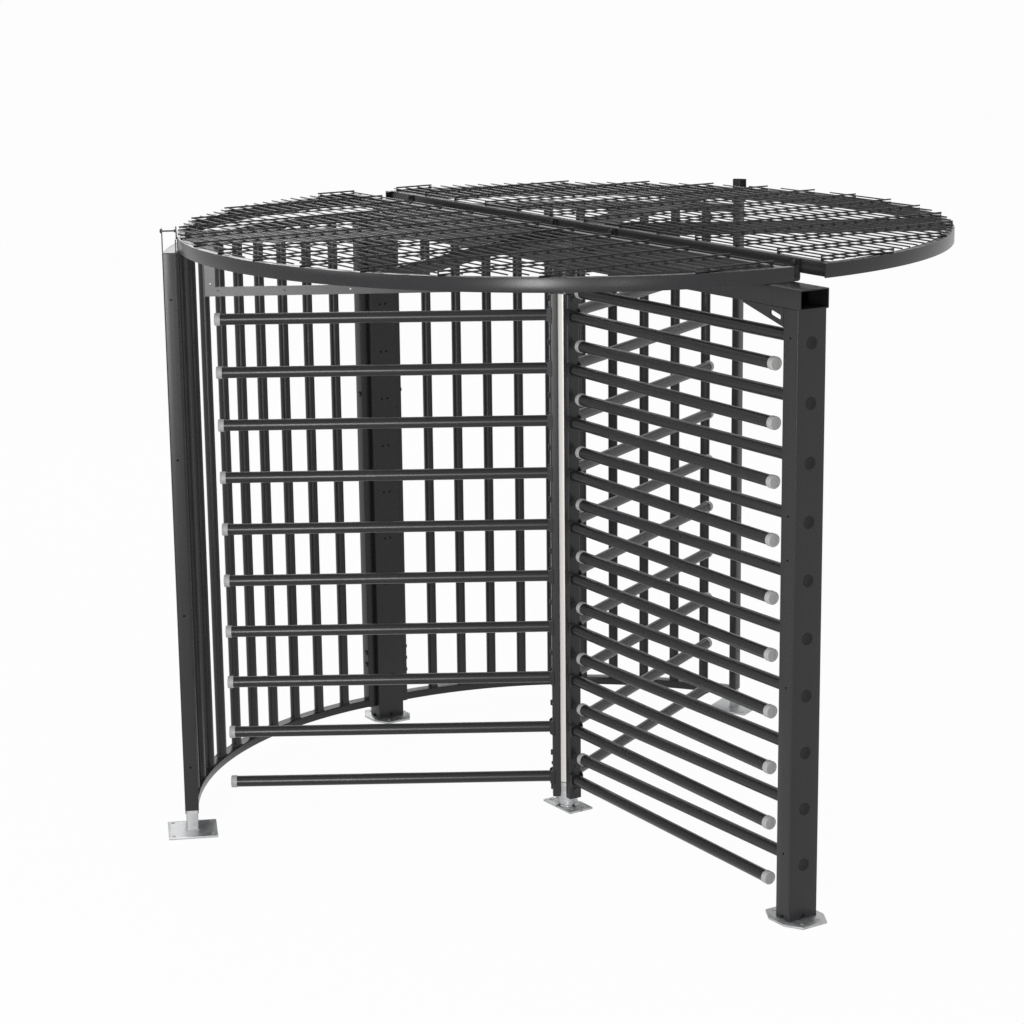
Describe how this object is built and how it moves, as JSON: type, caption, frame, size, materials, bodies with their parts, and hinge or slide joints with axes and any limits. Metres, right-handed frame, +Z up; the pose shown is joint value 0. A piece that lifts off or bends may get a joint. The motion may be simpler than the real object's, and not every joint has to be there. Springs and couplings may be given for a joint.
{
  "type": "full height turnstile",
  "caption": "Full height turnstile: a three-winged rotor of horizontal bars between a fixed comb and two curved cages, under an overhead beam and a round mesh roof.",
  "frame": {"origin": "on the floor on the rotor's axis, at the middle of the centre plate's underside", "axes": "+Z up along the rotor's axis, +X along the overhead beam to the comb post, +Y to the rear cage"},
  "size_m": [2.9853, 2.8773, 2.2924],
  "materials": {
    "black_steel": "semi-gloss black powder coat on steel",
    "black_fasteners": "blackened zinc-plated steel",
    "cap_plastic": "moulded light grey polyethylene",
    "plug_plastic": "moulded black polyethylene",
    "stainless": "brushed stainless steel",
    "galvanised": "bright zinc-coated steel",
    "machined_steel": "turned and milled steel, oiled",
    "bush_bronze": "sintered bronze",
    "solenoid_case": "plated steel frame round a wound coil"
  },
  "bodies": {
    "frame": {"beam_gussets": "black_steel", "column_bolts": "black_fasteners", "comb_bars": "black_steel", "comb_end_caps": "cap_plastic", "comb_post": "black_steel", "comb_post_base_plate": "galvanised", "comb_post_plugs": "plug_plastic", "cover_screws": "black_fasteners", "flange_bolts": "black_fasteners", "head_guard": "black_steel", "left_cage_bars": "black_steel", "left_cage_bottom_rail": "black_steel", "left_cage_end_post": "black_steel", "left_cage_top_rail": "black_steel", "left_outer_post": "black_steel", "left_post_foot": "galvanised", "left_roof_bracket": "black_steel", "lock_solenoids": "solenoid_case", "mechanism_cover": "black_steel", "overhead_beam": "black_steel", "pawl_pins": "machined_steel", "pedestal": "galvanised", "rear_cage_bars": "black_steel", "rear_cage_bottom_rail": "black_steel", "rear_cage_end_post": "black_steel", "rear_cage_top_rail": "black_steel", "rear_column": "black_steel", "rear_column_base_plate": "galvanised", "rear_outer_post": "black_steel", "rear_post_foot": "galvanised", "rear_roof_bracket": "black_steel", "roof_front_frame": "black_steel", "roof_front_mat": "black_steel", "roof_front_rim": "black_steel", "roof_post_bolts": "black_fasteners", "roof_rear_frame": "black_steel", "roof_rear_mat": "black_steel", "roof_rear_rim": "black_steel", "roof_saddles": "black_steel", "rotor_spindle": "machined_steel", "saddle_bolts": "black_fasteners", "top_bearing_housing": "black_steel", "top_bearings": "machined_steel"},
    "rotor": {"lock_disc": "machined_steel", "lower_bush": "bush_bronze", "rotor_tube": "stainless", "thrust_disc": "machined_steel", "top_shaft": "machined_steel", "wing_bars_a": "black_steel", "wing_bars_b": "black_steel", "wing_bars_c": "black_steel", "wing_bolts": "black_fasteners", "wing_channel_a": "black_steel", "wing_channel_b": "black_steel", "wing_channel_c": "black_steel", "wing_end_caps": "cap_plastic"},
    "entry_pawl": {"entry_pawl": "machined_steel"},
    "exit_pawl": {"exit_pawl": "machined_steel"},
    "entry_plunger": {"entry_plunger": "machined_steel"},
    "exit_plunger": {"exit_plunger": "machined_steel"}
  },
  "joints": [
    {"name": "rotor_spin", "type": "hinge", "parent": "frame", "child": "rotor", "pos_m": [0, 0, 0], "axis": [0, 0, 1], "continuous": true},
    {"name": "entry_pawl_turn", "type": "hinge", "parent": "frame", "child": "entry_pawl", "pos_m": [0.064, 0.03, 2.145], "axis": [0, 0, -1], "range_deg": [0, 18]},
    {"name": "exit_pawl_turn", "type": "hinge", "parent": "frame", "child": "exit_pawl", "pos_m": [-0.064, -0.03, 2.145], "axis": [0, 0, -1], "range_deg": [0, 18]},
    {"name": "entry_plunger_slide", "type": "slide", "parent": "frame", "child": "entry_plunger", "axis": [-1, 0, 0], "range_m": [0, 0.0082]},
    {"name": "exit_plunger_slide", "type": "slide", "parent": "frame", "child": "exit_plunger", "axis": [1, 0, 0], "range_m": [0, 0.0082]}
  ],
  "couplings": [
    {"joint": "entry_plunger_slide", "follows": "entry_pawl_turn", "m_per_rad": 0.026},
    {"joint": "exit_plunger_slide", "follows": "exit_pawl_turn", "m_per_rad": 0.026}
  ]
}
